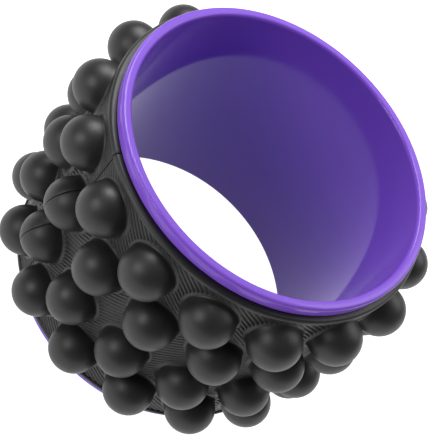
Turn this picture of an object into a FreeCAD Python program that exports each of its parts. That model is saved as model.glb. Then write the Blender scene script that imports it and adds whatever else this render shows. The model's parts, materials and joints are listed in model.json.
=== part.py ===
import FreeCAD, Part
import os
import Sketcher

# Massage yoga wheel: a hollow plastic drum with a knobbed elastomer sleeve bonded into its channel.
# The wheel lies on one rim with its axis along +Z. The origin is the centre of the lower rim's plane.

FULL_TURN = 360.0
TOLERANCE = 1e-4

doc = FreeCAD.newDocument("yoga_wheel")

# Driving dimensions in millimetres. The gaps are between the feet of neighbouring knobs.
driving_sizes = {
    "overall_width": 168.0,
    "rim_radius": 99.5,
    "wall_thickness": 6.2,
    "rim_outer_round": 2.0,
    "rim_land": 0.9,
    "lip_width": 7.5,
    "lip_edge_round": 0.6,
    "channel_depth": 2.6,
    "channel_corner_round": 0.4,
    "cut_overrun": 5.0,
    "film_thickness": 0.3,
    "film_margin": 4.0,
    "sleeve_base": 5.0,
    "sleeve_edge_gap": 0.8,
    "bead_width": 5.0,
    "bead_height": 1.1,
    "bead_slope": 1.4,
    "bead_edge_round": 1.7,
    "bead_land_round": 0.9,
    "knob_radius": 15.8,
    "knob_rise": 3.4,
    "knob_foot_round": 1.5,
    "knob_gap": 5.2,
    "middle_gap": 5.4,
    "nest_gap": 0.5,
    "bead_margin": 1.4,
    "seam_gap": 0.3,
}

sheet = doc.addObject("Spreadsheet::Sheet", "Sizes")
for line, (alias, number) in enumerate(driving_sizes.items(), start=1):
    sheet.set(f"A{line}", alias)
    sheet.set(f"B{line}", str(number))
    sheet.setAlias(f"B{line}", alias)
doc.recompute()

# Radii and heights where the pieces meet, worked out from the driving dimensions
fit_formulas = {
    "middle": "Sizes.overall_width / 2",
    "bore_radius": "Sizes.rim_radius - Sizes.wall_thickness",
    "rim_inner_round": "Sizes.wall_thickness - Sizes.rim_outer_round - Sizes.rim_land",
    "channel_radius": "Sizes.rim_radius - Sizes.channel_depth",
    "channel_top": "Sizes.overall_width - Sizes.lip_width",
    "cut_radius": "Sizes.rim_radius + Sizes.cut_overrun",
    "sleeve_inner_radius": "channel_radius + Sizes.film_thickness",
    "sleeve_radius": "sleeve_inner_radius + Sizes.sleeve_base",
    "sleeve_bottom": "Sizes.lip_width + Sizes.sleeve_edge_gap",
    "sleeve_top": "Sizes.overall_width - sleeve_bottom",
    "bead_radius": "sleeve_radius + Sizes.bead_height",
    "bead_land": "Sizes.bead_width - Sizes.bead_slope",
    "bead_edge_round": "min(Sizes.bead_edge_round; bead_land / 2)",
    "lower_land_end": "sleeve_bottom + bead_land",
    "lower_bead_top": "sleeve_bottom + Sizes.bead_width",
    "upper_land_end": "sleeve_top - bead_land",
    "upper_bead_bottom": "sleeve_top - Sizes.bead_width",
    "knob_root_radius": "(sleeve_inner_radius + sqrt(sleeve_radius ^ 2 - Sizes.knob_radius ^ 2)) / 2",
    "knob_centre_radius": "sleeve_radius + Sizes.knob_rise",
    "knob_top_radius": "knob_centre_radius + Sizes.knob_radius",
    "knob_shoulder_radius": "knob_centre_radius + Sizes.knob_radius / sqrt(2)",
    "knob_shoulder": "Sizes.knob_radius / sqrt(2)",
    "knob_foot_radius": "Sizes.knob_radius + Sizes.knob_foot_round",
    "knob_room": "2 * knob_foot_radius + Sizes.knob_gap",
    "seam_root_radius": "sleeve_inner_radius - Sizes.cut_overrun",
    "seam_reach_radius": "knob_top_radius + Sizes.cut_overrun",
    "film_bottom": "sleeve_bottom + Sizes.film_margin",
    "film_length": "Sizes.overall_width - 2 * film_bottom",
}

# A row holds as many knobs as go round the sleeve, and the width takes as many pairs of rows as nest in it.
# The rows of a pair stand either side of the wheel's middle: the first pair beside it, the last by the beads.
row_formulas = {
    "knobs_per_row": "floor(2 * pi * sleeve_radius / knob_room)",
    "half_pitch": "pi * sleeve_radius / knobs_per_row",
    "nest_step": "sqrt((2 * knob_foot_radius + Sizes.nest_gap) ^ 2 - half_pitch ^ 2)",
    "inner_row_offset": "knob_foot_radius + Sizes.middle_gap / 2",
    "outer_row_offset": "upper_bead_bottom - middle - Sizes.bead_margin - knob_foot_radius",
    "row_pairs": "1 + max(floor((outer_row_offset - inner_row_offset) / nest_step); 0)",
    "row_step": "(outer_row_offset - inner_row_offset) / max(row_pairs - 1; 1)",
    "seam_turn": "(floor(knobs_per_row / 2) - 0.5) * 360 / knobs_per_row",
}
fits = doc.addObject("App::VarSet", "Fits")
for place, formula in {**fit_formulas, **row_formulas}.items():
    fits.addProperty("App::PropertyFloat", place, "Fits")
    fits.setExpression(place, formula)
doc.recompute()


def length(named_size):
    """The present value of one named size, such as Sizes.lip_width. A plain 0 is the axis or the base."""
    if named_size == "0":
        return 0.0
    owner, name = named_size.split(".")
    return float(sheet.get(name) if owner == "Sizes" else getattr(fits, name))


def spot(radius, height):
    """A point of a section, at a named radius and height."""
    return FreeCAD.Vector(length(radius), length(height), 0)


def origin_feature(body, role):
    """One of the body's own origin planes or axes."""
    return next(feature for feature in body.Origin.OriginFeatures if feature.Role == role)


def section_sketch(body, name):
    """An empty sketch on the body's XZ plane: its x is the wheel's radius and its y the wheel's height."""
    sketch = body.newObject("Sketcher::SketchObject", name)
    sketch.AttachmentSupport = [(origin_feature(body, "XZ_Plane"), "")]
    sketch.MapMode = "FlatFace"
    return sketch


def end_at(sketch, curve, place):
    """Which end of a curve, 1 or 2, lies at a place."""
    return 1 if sketch.getPoint(curve, 1).isEqual(place, TOLERANCE) else 2


def pin_point(sketch, curve, end, radius, height):
    """Ties one end of a curve to a named radius and height."""
    for kind, axis, size in (("DistanceX", -2, radius), ("DistanceY", -1, height)):
        if size == "0":
            sketch.addConstraint(Sketcher.Constraint("PointOnObject", curve, end, axis))
        else:
            number = sketch.addConstraint(Sketcher.Constraint(kind, -1, 1, curve, end, length(size)))
            sketch.setExpression(f"Constraints[{number}]", size)


def draw_outline(sketch, corners, crests):
    """A closed outline through named corners. A side with a crest is an arc through it, others are lines."""
    sides = []
    for number, corner in enumerate(corners):
        start = spot(*corner)
        end = spot(*corners[(number + 1) % len(corners)])
        if number in crests:
            curve = Part.Arc(start, spot(*crests[number]), end)
        else:
            curve = Part.LineSegment(start, end)
        sides.append(sketch.addGeometry(curve, False))
    for number, corner in enumerate(corners):
        before, after = sides[number - 1], sides[number]
        near, far = end_at(sketch, after, spot(*corner)), end_at(sketch, before, spot(*corner))
        sketch.addConstraint(Sketcher.Constraint("Coincident", before, far, after, near))
        pin_point(sketch, after, near, *corner)
    for number, crest in crests.items():
        mark = sketch.addGeometry(Part.Point(spot(*crest)), True)
        pin_point(sketch, mark, 1, *crest)
        sketch.addConstraint(Sketcher.Constraint("PointOnObject", mark, 1, sides[number]))


def turned(body, kind, name, sketch, axis):
    """A full turn of a section, added to the body or cut from it."""
    turn = body.newObject(kind, name)
    turn.Profile = sketch
    turn.ReferenceAxis = axis
    turn.Angle = FULL_TURN
    doc.recompute()
    return turn


def rounded(body, name, edges, radius):
    """A round of a named radius along edges of the body's last feature."""
    last_feature = body.Tip
    round_over = body.newObject("PartDesign::Fillet", name)
    round_over.Base = (last_feature, edges)
    round_over.setExpression("Radius", radius)
    doc.recompute()


def ring_edges(shape, radius, heights):
    """Names of the shape's circular edges of a named radius at some named heights."""
    names = []
    for number, edge in enumerate(shape.Edges, start=1):
        if edge.Degenerated or not isinstance(edge.Curve, Part.Circle):
            continue
        same_radius = abs(edge.Curve.Radius - length(radius)) < TOLERANCE
        if same_radius and any(abs(edge.Curve.Center.z - length(height)) < TOLERANCE for height in heights):
            names.append(f"Edge{number}")
    return names


def foot_edges(shape, radius):
    """Names of the edges where the knobs' flanks leave the round surface of a named radius."""
    outside = [
        face for face in shape.Faces
        if isinstance(face.Surface, Part.Cylinder) and abs(face.Surface.Radius - length(radius)) < TOLERANCE
    ]
    outside_edges = [edge for face in outside for edge in face.Edges]
    names = []
    for number, edge in enumerate(shape.Edges, start=1):
        if edge.Degenerated or isinstance(edge.Curve, (Part.Line, Part.Circle)):
            continue
        if any(edge.isSame(candidate) for candidate in outside_edges):
            names.append(f"Edge{number}")
    return names


# Drum: one rigid moulding with a smooth bore, rounded rims and a shallow channel round its outside
drum = doc.addObject("PartDesign::Body", "Drum")
drum.Label = "core_drum"

wall_section = section_sketch(drum, "WallSection")
draw_outline(
    wall_section,
    [
        ("Fits.bore_radius", "0"),
        ("Sizes.rim_radius", "0"),
        ("Sizes.rim_radius", "Sizes.overall_width"),
        ("Fits.bore_radius", "Sizes.overall_width"),
    ],
    {},
)
drum_axis = (origin_feature(drum, "Z_Axis"), [""])
turned(drum, "PartDesign::Revolution", "Wall", wall_section, drum_axis)

channel_section = section_sketch(drum, "ChannelSection")
draw_outline(
    channel_section,
    [
        ("Fits.channel_radius", "Sizes.lip_width"),
        ("Fits.cut_radius", "Sizes.lip_width"),
        ("Fits.cut_radius", "Fits.channel_top"),
        ("Fits.channel_radius", "Fits.channel_top"),
    ],
    {},
)
turned(drum, "PartDesign::Groove", "Channel", channel_section, drum_axis)

rim_planes = ("0", "Sizes.overall_width")
lip_sides = ("Sizes.lip_width", "Fits.channel_top")
for name, radius, heights, round_radius in (
    ("RimInnerRound", "Fits.bore_radius", rim_planes, "Fits.rim_inner_round"),
    ("RimOuterRound", "Sizes.rim_radius", rim_planes, "Sizes.rim_outer_round"),
    ("LipEdgeRound", "Sizes.rim_radius", lip_sides, "Sizes.lip_edge_round"),
    ("ChannelCornerRound", "Fits.channel_radius", lip_sides, "Sizes.channel_corner_round"),
):
    rounded(drum, name, ring_edges(drum.Shape, radius, heights), round_radius)

# Sleeve: one elastomer strip, a band with a flat-topped bead along each edge and rows of round knobs.
# It is wrapped round the drum, and its ends meet in a butt seam that halves one knob of each inner row.
sleeve = doc.addObject("PartDesign::Body", "Sleeve")
sleeve.Label = "knob_sleeve"

band_section = section_sketch(sleeve, "BandSection")
draw_outline(
    band_section,
    [
        ("Fits.sleeve_inner_radius", "Fits.sleeve_bottom"),
        ("Fits.bead_radius", "Fits.sleeve_bottom"),
        ("Fits.bead_radius", "Fits.lower_land_end"),
        ("Fits.sleeve_radius", "Fits.lower_bead_top"),
        ("Fits.sleeve_radius", "Fits.upper_bead_bottom"),
        ("Fits.bead_radius", "Fits.upper_land_end"),
        ("Fits.bead_radius", "Fits.sleeve_top"),
        ("Fits.sleeve_inner_radius", "Fits.sleeve_top"),
    ],
    {},
)
sleeve_axis = (origin_feature(sleeve, "Z_Axis"), [""])
turned(sleeve, "PartDesign::Revolution", "Band", band_section, sleeve_axis)

sleeve_edges = ("Fits.sleeve_bottom", "Fits.sleeve_top")
land_ends = ("Fits.lower_land_end", "Fits.upper_land_end")
for name, heights, round_radius in (
    ("BeadEdgeRound", sleeve_edges, "Fits.bead_edge_round"),
    ("BeadLandRound", land_ends, "Sizes.bead_land_round"),
):
    rounded(sleeve, name, ring_edges(sleeve.Shape, "Fits.bead_radius", heights), round_radius)

# Each pair of rows is turned half a pitch from the pair before it, so that the knobs nest
wheel_axis = FreeCAD.Vector(0, 1, 0)
turn_shares = (0.5, 0.0)
for pair in range(round(length("Fits.row_pairs"))):
    turn_share = turn_shares[pair % len(turn_shares)]
    for side, sign in (("Upper", "+"), ("Lower", "-")):
        row = f"{side}Row{pair + 1}"
        knob_section = section_sketch(sleeve, f"{row}Section")
        row_turn = FreeCAD.Rotation(wheel_axis, turn_share * FULL_TURN / length("Fits.knobs_per_row"))
        knob_section.AttachmentOffset = FreeCAD.Placement(FreeCAD.Vector(), row_turn)
        row_height = f"Fits.middle {sign} (Fits.inner_row_offset + {pair} * Fits.row_step)"
        knob_section.setExpression("AttachmentOffset.Base.y", row_height)
        turn_formula = f"{turn_share * FULL_TURN} / Fits.knobs_per_row"
        knob_section.setExpression("AttachmentOffset.Rotation.Angle", turn_formula)
        draw_outline(
            knob_section,
            [
                ("Fits.knob_root_radius", "0"),
                ("Fits.knob_top_radius", "0"),
                ("Fits.knob_centre_radius", "Sizes.knob_radius"),
                ("Fits.knob_root_radius", "Sizes.knob_radius"),
            ],
            {1: ("Fits.knob_shoulder_radius", "Fits.knob_shoulder")},
        )
        knob_axis = (knob_section, ["H_Axis"])
        knob = turned(sleeve, "PartDesign::Revolution", f"{row}Knob", knob_section, knob_axis)
        knobs = sleeve.newObject("PartDesign::PolarPattern", f"{row}Knobs")
        knobs.Originals = [knob]
        knobs.Axis = sleeve_axis
        knobs.Angle = FULL_TURN
        knobs.setExpression("Occurrences", "Fits.knobs_per_row")
        sleeve.Tip = knobs
        doc.recompute()
rounded(sleeve, "KnobFeet", foot_edges(sleeve.Shape, "Fits.sleeve_radius"), "Sizes.knob_foot_round")

seam_section = section_sketch(sleeve, "SeamSection")
seam_section.AttachmentOffset = FreeCAD.Placement(
    FreeCAD.Vector(), FreeCAD.Rotation(wheel_axis, length("Fits.seam_turn"))
)
seam_section.setExpression("AttachmentOffset.Rotation.Angle", "Fits.seam_turn")
draw_outline(
    seam_section,
    [
        ("Fits.seam_root_radius", "0"),
        ("Fits.seam_reach_radius", "0"),
        ("Fits.seam_reach_radius", "Sizes.overall_width"),
        ("Fits.seam_root_radius", "Sizes.overall_width"),
    ],
    {},
)
seam = sleeve.newObject("PartDesign::Pocket", "Seam")
seam.Profile = seam_section
seam.SideType = "Symmetric"
seam.setExpression("Length", "Sizes.seam_gap")
doc.recompute()

# Bond film: the thin layer of adhesive that fills the room between the channel's floor and the sleeve
film_outside = doc.addObject("Part::Cylinder", "FilmOutside")
film_outside.setExpression("Radius", "Fits.sleeve_inner_radius")
film_inside = doc.addObject("Part::Cylinder", "FilmInside")
film_inside.setExpression("Radius", "Fits.channel_radius")
for cylinder in (film_outside, film_inside):
    cylinder.setExpression("Height", "Fits.film_length")
    cylinder.setExpression("Placement.Base.z", "Fits.film_bottom")
film = doc.addObject("Part::Cut", "Film")
film.Label = "bond_film"
film.Base = film_outside
film.Tool = film_inside
doc.recompute()

# Every feature has to be sound, and every piece one closed solid, before any file is written
pieces = (drum, sleeve, film)
for feature in doc.Objects:
    if {"Invalid", "Error"} & set(feature.State):
        raise RuntimeError(f"{feature.Label} failed: {feature.State}")
for piece in pieces:
    if piece.Shape.isNull() or not piece.Shape.isValid() or len(piece.Shape.Solids) != 1:
        raise RuntimeError(f"{piece.Label} is not one valid solid")

os.makedirs("parts", exist_ok=True)
for piece in pieces:
    piece.Shape.exportStep(os.path.join("parts", f"{piece.Label}.step"))
    box = piece.Shape.optimalBoundingBox(False)
    print(f"{piece.Label}: {box.XLength:.1f} x {box.YLength:.1f} x {box.ZLength:.1f} mm")
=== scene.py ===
import bmesh
import bpy
import json
from math import cos, pi, radians, sin, sqrt, tan
from mathutils import Matrix, Quaternion, Vector


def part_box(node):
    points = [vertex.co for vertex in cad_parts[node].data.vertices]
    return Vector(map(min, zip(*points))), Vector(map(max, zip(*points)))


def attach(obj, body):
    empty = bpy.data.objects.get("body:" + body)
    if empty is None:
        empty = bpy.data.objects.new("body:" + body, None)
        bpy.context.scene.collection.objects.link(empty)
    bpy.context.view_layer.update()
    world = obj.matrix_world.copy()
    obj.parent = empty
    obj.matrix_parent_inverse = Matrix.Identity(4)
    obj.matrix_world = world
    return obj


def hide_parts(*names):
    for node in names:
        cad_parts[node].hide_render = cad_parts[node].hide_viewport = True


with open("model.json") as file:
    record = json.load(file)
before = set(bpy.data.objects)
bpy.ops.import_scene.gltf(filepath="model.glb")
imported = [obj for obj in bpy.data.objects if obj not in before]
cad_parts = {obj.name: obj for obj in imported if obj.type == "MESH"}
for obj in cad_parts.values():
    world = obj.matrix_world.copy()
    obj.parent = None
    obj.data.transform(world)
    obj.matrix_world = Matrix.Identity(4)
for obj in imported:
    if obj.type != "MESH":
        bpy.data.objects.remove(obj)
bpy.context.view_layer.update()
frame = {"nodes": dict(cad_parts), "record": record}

# Core drum: one hollow moulding in glossy violet plastic, open right through. Each rim is a flat land with a
# rounded outer edge and a small bevelled mouth, so it is kind to the hands. A shallow channel round the
# outside holds the sleeve between two low lips.
MM = 0.001
FULL_TURN = 2 * pi
AXLE = Vector((0, 0, 1))
WELD = 0.001 * MM
drum_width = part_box("core_drum")[1].z
rim_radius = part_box("core_drum")[1].x
bore_radius = next(m["dims"]["r_mm"] for m in frame["record"]["mounts"] if m["name"] == "bore") * MM
sleeve_inner_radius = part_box("bond_film")[1].x
film_thickness = 0.3 * MM
channel_radius = sleeve_inner_radius - film_thickness
lip_width = 7.5 * MM
mouth_width = 1.2 * MM
mouth_depth = 1.6 * MM
mouth_round = 0.8 * MM
rim_outer_round = 1.8 * MM
lip_edge_round = 0.6 * MM
channel_corner_round = 0.4 * MM
drum_steps = 288
turned_crease = radians(40)


def turned_section(corners, rounds, steps):
    """Draws a wall's section in the XZ plane, rounds its corners and turns it once round the wheel's axis."""
    shape = bmesh.new()
    points = {place: shape.verts.new((radius, 0, height)) for place, radius, height in corners}
    shape.faces.new(points.values())
    for corner, round_radius, segments in rounds:
        bmesh.ops.bevel(
            shape, geom=[points[corner + "_low"], points[corner + "_high"]], offset=round_radius,
            offset_type="OFFSET", affect="VERTICES", segments=segments, profile=0.5, material=-1,
        )
    bmesh.ops.delete(shape, geom=shape.faces[:], context="FACES_ONLY")
    bmesh.ops.spin(
        shape, geom=shape.verts[:] + shape.edges[:], cent=(0, 0, 0), axis=AXLE,
        angle=FULL_TURN, steps=steps, use_merge=True,
    )
    return shape


def piece_from(shape, name, crease_angle):
    """Makes a smooth-shaded piece of a finished bmesh. Edges that turn by more than the crease stay crisp."""
    bmesh.ops.remove_doubles(shape, verts=shape.verts, dist=WELD)
    bmesh.ops.recalc_face_normals(shape, faces=shape.faces)
    mesh = bpy.data.meshes.new(name)
    shape.to_mesh(mesh)
    shape.free()
    mesh.shade_smooth()
    mesh.set_sharp_from_angle(angle=crease_angle)
    piece = bpy.data.objects.new(name, mesh)
    bpy.context.scene.collection.objects.link(piece)
    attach(piece, "root")
    return piece


drum = turned_section(
    corners=(
        ("bore_low", bore_radius, mouth_depth),
        ("mouth_low", bore_radius + mouth_width, 0),
        ("rim_low", rim_radius, 0),
        ("lip_low", rim_radius, lip_width),
        ("floor_low", channel_radius, lip_width),
        ("floor_high", channel_radius, drum_width - lip_width),
        ("lip_high", rim_radius, drum_width - lip_width),
        ("rim_high", rim_radius, drum_width),
        ("mouth_high", bore_radius + mouth_width, drum_width),
        ("bore_high", bore_radius, drum_width - mouth_depth),
    ),
    rounds=(
        ("bore", mouth_round, 5),
        ("mouth", mouth_round, 5),
        ("rim", rim_outer_round, 8),
        ("lip", lip_edge_round, 4),
        ("floor", channel_corner_round, 2),
    ),
    steps=drum_steps,
)
core_drum = piece_from(drum, "drum_moulding", turned_crease)
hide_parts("core_drum")


def new_finish(name):
    """A node material with its principled shader."""
    finish = bpy.data.materials.new(name)
    finish.use_nodes = True
    return finish, finish.node_tree.nodes["Principled BSDF"]


def moulded_finish(name, dark, light, cloud, roughness, polish, grain, grain_height, specular=0.5):
    """A finish whose tint, polish and fine grain vary a little. Each noise is given as its scale and detail."""
    finish, shader = new_finish(name)
    shader.inputs["Specular IOR Level"].default_value = specular
    nodes, links = finish.node_tree.nodes, finish.node_tree.links
    noise_low, noise_high = 0.3, 0.7

    def noise_on_piece(scale, detail):
        place = nodes.new("ShaderNodeTexCoord")
        noise = nodes.new("ShaderNodeTexNoise")
        noise.inputs["Scale"].default_value = scale
        noise.inputs["Detail"].default_value = detail
        links.new(place.outputs["Object"], noise.inputs["Vector"])
        return noise.outputs["Fac"]

    tint = nodes.new("ShaderNodeValToRGB")
    for stop, position, colour in zip(tint.color_ramp.elements, (noise_low, noise_high), (dark, light)):
        stop.position = position
        stop.color = (*colour, 1)
    links.new(noise_on_piece(*cloud), tint.inputs["Fac"])
    links.new(tint.outputs["Color"], shader.inputs["Base Color"])

    spread = nodes.new("ShaderNodeMapRange")
    spread.inputs["From Min"].default_value = noise_low
    spread.inputs["From Max"].default_value = noise_high
    spread.inputs["To Min"].default_value, spread.inputs["To Max"].default_value = roughness
    links.new(noise_on_piece(*polish), spread.inputs["Value"])
    links.new(spread.outputs["Result"], shader.inputs["Roughness"])

    bump = nodes.new("ShaderNodeBump")
    bump.inputs["Distance"].default_value = grain_height
    links.new(noise_on_piece(*grain), bump.inputs["Height"])
    links.new(bump.outputs["Normal"], shader.inputs["Normal"])
    return finish


violet = moulded_finish(
    "violet_gloss_plastic", dark=(0.20, 0.08, 0.57), light=(0.225, 0.095, 0.61), cloud=(14, 2),
    roughness=(0.07, 0.10), polish=(60, 3), grain=(900, 2), grain_height=0.004 * MM, specular=0.22,
)
core_drum.data.materials.append(violet)

# Bond film: contact adhesive brushed on the channel's floor before the sleeve is wrapped round it.
# It cures to a thin amber layer that keeps the sleeve from creeping, and is closed in on all sides.
amber = moulded_finish(
    "amber_adhesive", dark=(0.40, 0.28, 0.12), light=(0.52, 0.40, 0.20), cloud=(90, 4),
    roughness=(0.35, 0.55), polish=(90, 4), grain=(90, 4), grain_height=0.05 * MM,
)
bond_film = frame["nodes"]["bond_film"]
bond_film.data.materials.clear()
bond_film.data.materials.append(amber)

# Sleeve band: the body of the black elastomer sleeve, a moulded strip wrapped round in the drum's channel.
# A flat-topped bead runs along each edge, and the strip's two ends meet in a butt seam on one side.
sleeve_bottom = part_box("knob_sleeve")[0].z
sleeve_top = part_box("knob_sleeve")[1].z
sleeve_base = 5.0 * MM
sleeve_radius = sleeve_inner_radius + sleeve_base
bead_width = 5.0 * MM
bead_height = 1.1 * MM
bead_land_end = 3.6 * MM
bead_edge_round = 2.4 * MM
bead_land_round = 0.9 * MM
rib_depth = 0.75 * MM
bead_radius = sleeve_radius + bead_height
band_radius = sleeve_radius - 2 * rib_depth
band_steps = 288
seam_gap = 0.3 * MM
seam_round = 0.5 * MM
seam_turn = radians(168.75)
seam_out = Vector((cos(seam_turn), sin(seam_turn), 0))
seam_across = AXLE.cross(seam_out)


def open_seam(shape):
    """Parts a closed shape at the seam. Both cut ends are closed again and rounded at their edges."""
    for side in (-1, 1):
        for slope in (0, pi / 6, pi / 3, pi / 2):
            aside = seam_across * side * (seam_gap / 2 + seam_round * (1 - sin(slope)))
            near = [face for face in shape.faces if seam_out.dot(face.calc_center_median()) > 0]
            lines = list({edge for face in near for edge in face.edges})
            points = list({vert for face in near for vert in face.verts})
            bmesh.ops.bisect_plane(shape, geom=near + lines + points, dist=2 * WELD,
                                   plane_co=aside, plane_no=seam_across)
    shape.normal_update()
    sinks = {}
    for vert in shape.verts:
        into_round = seam_round + seam_gap / 2 - abs(seam_across.dot(vert.co))
        if into_round > 0 and seam_out.dot(vert.co) > 0:
            depth = seam_round - sqrt(seam_round ** 2 - min(into_round, seam_round) ** 2)
            sinks[vert] = (vert.normal - seam_across * seam_across.dot(vert.normal)).normalized() * depth
    in_gap = [face for face in shape.faces
              if seam_out.dot(face.calc_center_median()) > 0
              and abs(seam_across.dot(face.calc_center_median())) < seam_gap / 2]
    bmesh.ops.delete(shape, geom=in_gap, context="FACES")
    bmesh.ops.edgeloop_fill(shape, edges=[edge for edge in shape.edges if edge.is_boundary])
    for vert, sink in sinks.items():
        if vert.is_valid:
            vert.co -= sink


band = turned_section(
    corners=(
        ("inner_low", sleeve_inner_radius, sleeve_bottom),
        ("edge_low", bead_radius, sleeve_bottom),
        ("land_low", bead_radius, sleeve_bottom + bead_land_end),
        ("under_ribs_low", band_radius, sleeve_bottom + bead_width),
        ("under_ribs_high", band_radius, sleeve_top - bead_width),
        ("land_high", bead_radius, sleeve_top - bead_land_end),
        ("edge_high", bead_radius, sleeve_top),
        ("inner_high", sleeve_inner_radius, sleeve_top),
    ),
    rounds=(("edge", bead_edge_round, 8), ("land", bead_land_round, 4)),
    steps=band_steps,
)
bmesh.ops.remove_doubles(band, verts=band.verts, dist=WELD)
bmesh.ops.recalc_face_normals(band, faces=band.faces)
open_seam(band)
sleeve_band = piece_from(band, "sleeve_band", turned_crease)
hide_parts("knob_sleeve")

black = moulded_finish(
    "black_satin_elastomer", dark=(0.014, 0.014, 0.0145), light=(0.019, 0.019, 0.0195), cloud=(40, 4),
    roughness=(0.42, 0.50), polish=(120, 4), grain=(1600, 3), grain_height=0.02 * MM,
)
sleeve_band.data.materials.append(black)

# Ribbed field: fine round-topped ribs moulded into the sleeve between its knobs for grip. They slant one
# way round the two outer rows of knobs and the other way between the inner rows.
inner_row_offset = 20.0 * MM
outer_row_offset = 52.0 * MM
ribs_round = 144
rib_slant = radians(36)
rib_lift_shares = (0.0, 0.62, 0.92, 1.0, 0.92, 0.62)
points_per_rib = len(rib_lift_shares)
valley_radius = sleeve_radius - rib_depth
backing_radius = band_radius - rib_depth
field_bottom = sleeve_bottom + bead_width / 2
field_top = sleeve_top - bead_width / 2
slant_turn = (inner_row_offset + outer_row_offset) / 2
zone_edges = (field_bottom, drum_width / 2 - slant_turn, drum_width / 2 + slant_turn, field_top)
zone_leans = (-1, 1, -1)
ring_height = 3.0 * MM
moulded_crease = radians(50)


def only(kind, parts):
    """The parts of one kind, such as vertices, out of what an operator gives back."""
    return [part for part in parts if isinstance(part, kind)]


field = bmesh.new()
first_ring = bmesh.ops.create_circle(field, segments=ribs_round * points_per_rib, radius=valley_radius)["verts"]
for number, vert in enumerate(first_ring):
    vert.co.xy *= 1 + rib_depth * rib_lift_shares[number % points_per_rib] / valley_radius
bmesh.ops.translate(field, verts=field.verts, vec=AXLE * field_bottom)
first_edges = field.edges[:]
open_edges = first_edges


def next_ring(edges):
    """Extrudes a ring of edges and gives the new ring's vertices and edges."""
    grown = bmesh.ops.extrude_edge_only(field, edges=edges)["geom"]
    return only(bmesh.types.BMVert, grown), only(bmesh.types.BMEdge, grown)


for low, high, lean in zip(zone_edges, zone_edges[1:], zone_leans):
    rings = round((high - low) / ring_height)
    rise = (high - low) / rings
    turn = Matrix.Rotation(lean * rise / tan(rib_slant) / sleeve_radius, 3, "Z")
    for _ in range(rings):
        ring, open_edges = next_ring(open_edges)
        bmesh.ops.translate(field, verts=ring, vec=AXLE * rise)
        bmesh.ops.rotate(field, verts=ring, cent=(0, 0, 0), matrix=turn)
backing_edges = []
for edges in (first_edges, open_edges):
    ring, inner_edges = next_ring(edges)
    for vert in ring:
        vert.co.xy = vert.co.xy.normalized() * backing_radius
    backing_edges += inner_edges
bmesh.ops.bridge_loops(field, edges=backing_edges)
bmesh.ops.recalc_face_normals(field, faces=field.faces)
open_seam(field)
rib_field = piece_from(field, "rib_field", moulded_crease)
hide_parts("knob_sleeve")
rib_field.data.materials.append(black)

# Knobs: round-topped massage knobs moulded in one with the sleeve. Each has a half-ball top, a short
# straight flank and a small hollow round at its foot. The seam halves one knob of each inner row.
knob_radius = 15.8 * MM
knob_rise = 3.4 * MM
foot_round = 1.5 * MM
skirt_reach = 1.1 * MM
skirt_drop = 1.0 * MM
knobs_per_row = 16
knob_steps = 48
dome_steps = 14
foot_steps = 6
knob_pitch = FULL_TURN / knobs_per_row
dome_centre = Vector((sleeve_radius + knob_rise, 0, 0))
foot_centre = Vector((sleeve_radius + foot_round, 0, knob_radius + foot_round))

knobs = bmesh.new()
crown = knobs.verts.new((dome_centre.x + knob_radius, 0, 0))
dome = bmesh.ops.spin(knobs, geom=[crown], cent=dome_centre, axis=(0, 1, 0), angle=-pi / 2, steps=dome_steps)
flank_end = knobs.verts.new((foot_centre.x, 0, knob_radius))
knobs.edges.new((dome["geom_last"][0], flank_end))
foot = bmesh.ops.spin(knobs, geom=[flank_end], cent=foot_centre, axis=(0, 1, 0), angle=pi / 2, steps=foot_steps)
skirt = knobs.verts.new((sleeve_radius - skirt_drop, 0, foot_centre.z + skirt_reach))
knobs.edges.new((foot["geom_last"][0], skirt))
knobs.edges.new((skirt, knobs.verts.new((band_radius - skirt_drop, 0, 0))))
bmesh.ops.spin(knobs, geom=knobs.verts[:] + knobs.edges[:], cent=(0, 0, 0), axis=(1, 0, 0),
               angle=FULL_TURN, steps=knob_steps, use_merge=True)
bmesh.ops.remove_doubles(knobs, verts=knobs.verts, dist=WELD)

# The foot follows the sleeve's round surface, so points drop with their distance from the knob's middle line.
for vert in knobs.verts:
    fall = sleeve_radius - sqrt(sleeve_radius ** 2 - vert.co.y ** 2)
    share = min(max((dome_centre.x - vert.co.x) / (knob_rise - foot_round), 0), 1)
    vert.co.x -= fall * share

first_knob = knobs.verts[:] + knobs.edges[:] + knobs.faces[:]
for offset, turn_share in (
    (-outer_row_offset, 0), (-inner_row_offset, 0.5), (inner_row_offset, 0.5), (outer_row_offset, 0),
):
    for number in range(knobs_per_row):
        copied = only(bmesh.types.BMVert, bmesh.ops.duplicate(knobs, geom=first_knob)["geom"])
        bmesh.ops.translate(knobs, verts=copied, vec=AXLE * (drum_width / 2 + offset))
        bmesh.ops.rotate(knobs, verts=copied, cent=(0, 0, 0),
                         matrix=Matrix.Rotation((number + turn_share) * knob_pitch, 3, "Z"))
bmesh.ops.delete(knobs, geom=only(bmesh.types.BMVert, first_knob), context="VERTS")
bmesh.ops.recalc_face_normals(knobs, faces=knobs.faces)
open_seam(knobs)
massage_knobs = piece_from(knobs, "massage_knobs", moulded_crease)
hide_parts("knob_sleeve")
massage_knobs.data.materials.append(black)

# Floor: a plain white table, lit softly from within like a product photographer's light table. The round
# of it that the wheel closes in is seen and mirrored, but casts no light on the bore's wall.
floor_radius = 30.0
foot_radius = bore_radius + 2 * mouth_width
floor_steps = 96
table_glow = 1.1
white, white_shader = new_finish("white_table")
white_shader.inputs["Base Color"].default_value = (0.25, 0.25, 0.25, 1)
white_shader.inputs["Roughness"].default_value = 0.6
white_shader.inputs["Emission Color"].default_value = (1, 1, 1, 1)
white_shader.inputs["Emission Strength"].default_value = table_glow


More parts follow.
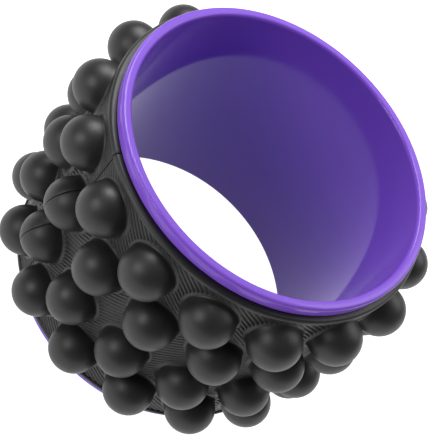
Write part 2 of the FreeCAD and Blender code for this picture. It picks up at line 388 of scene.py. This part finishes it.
def lay_floor(sheet, name):
    """Makes a sheet of the floor, facing up, from a flat bmesh."""
    sheet.normal_update()
    bmesh.ops.reverse_faces(sheet, faces=[face for face in sheet.faces if face.normal.z < 0])
    mesh = bpy.data.meshes.new(name)
    sheet.to_mesh(mesh)
    sheet.free()
    laid = bpy.data.objects.new(name, mesh)
    bpy.context.scene.collection.objects.link(laid)
    laid.data.materials.append(white)
    return laid


outside = bmesh.new()
for edge_radius in (floor_radius, foot_radius):
    bmesh.ops.create_circle(outside, segments=floor_steps, radius=edge_radius)
bmesh.ops.bridge_loops(outside, edges=outside.edges)
lay_floor(outside, "floor")
inside = bmesh.new()
bmesh.ops.create_circle(inside, segments=floor_steps, radius=foot_radius)
bmesh.ops.edgeloop_fill(inside, edges=inside.edges)
lay_floor(inside, "floor_inside").visible_diffuse = False

# Camera: looks down into the wheel from the left, rolled so that the wheel's axis runs up to the right.
# It is a long lens close to the wheel, shifted a little to frame it as the photograph does.
camera_place = Vector((-0.4270, -0.2047, 0.6274))
camera_aim = Vector((-0.0074, -0.0067, 0.0760))
camera_roll = radians(45.0)
camera_turn = (camera_aim - camera_place).to_track_quat("-Z", "Y") @ Quaternion((0, 0, 1), camera_roll)
photo_camera = bpy.data.cameras.new("photo_camera")
photo_camera.lens = 95.78
photo_camera.sensor_width = 36
photo_camera.shift_x = 0.0294
photo_camera.shift_y = 0.0437
viewer = bpy.data.objects.new("photo_camera", photo_camera)
bpy.context.scene.collection.objects.link(viewer)
viewer.location = camera_place
viewer.rotation_euler = camera_turn.to_euler()
bpy.context.scene.camera = viewer

# Studio light: a dim even room, a softbox beside the camera on its left, a stronger one above the wheel in
# the picture, a weak one on its right, and one between these two that the flat of the near rim mirrors.
room_glow = 0.14
wheel_centre = Vector((0, 0, drum_width / 2))
room = bpy.data.worlds.new("white_room")
bpy.context.scene.world = room
room.use_nodes = True
room.node_tree.nodes["Background"].inputs["Color"].default_value = (1, 1, 1, 1)
room.node_tree.nodes["Background"].inputs["Strength"].default_value = room_glow
bpy.context.scene.view_settings.view_transform = "Standard"

for name, from_camera, distance, side, watts in (
    ("key_softbox", (-0.50, 0.25, 0.83), 0.9, 0.4, 2.6),
    ("upper_softbox", (0.28, 0.88, 0.38), 1.0, 0.5, 8.0),
    ("right_softbox", (0.95, 0.25, 0.15), 1.0, 0.6, 3.0),
    ("rim_softbox", (0.69, 0.69, 0.19), 1.2, 0.8, 3.0),
):
    lamp = bpy.data.lights.new(name, "AREA")
    lamp.shape = "SQUARE"
    lamp.size = side
    lamp.energy = watts
    softbox = bpy.data.objects.new(name, lamp)
    bpy.context.scene.collection.objects.link(softbox)
    softbox.location = wheel_centre + camera_turn @ Vector(from_camera).normalized() * distance
    softbox.rotation_euler = (wheel_centre - softbox.location).to_track_quat("-Z", "Y").to_euler()
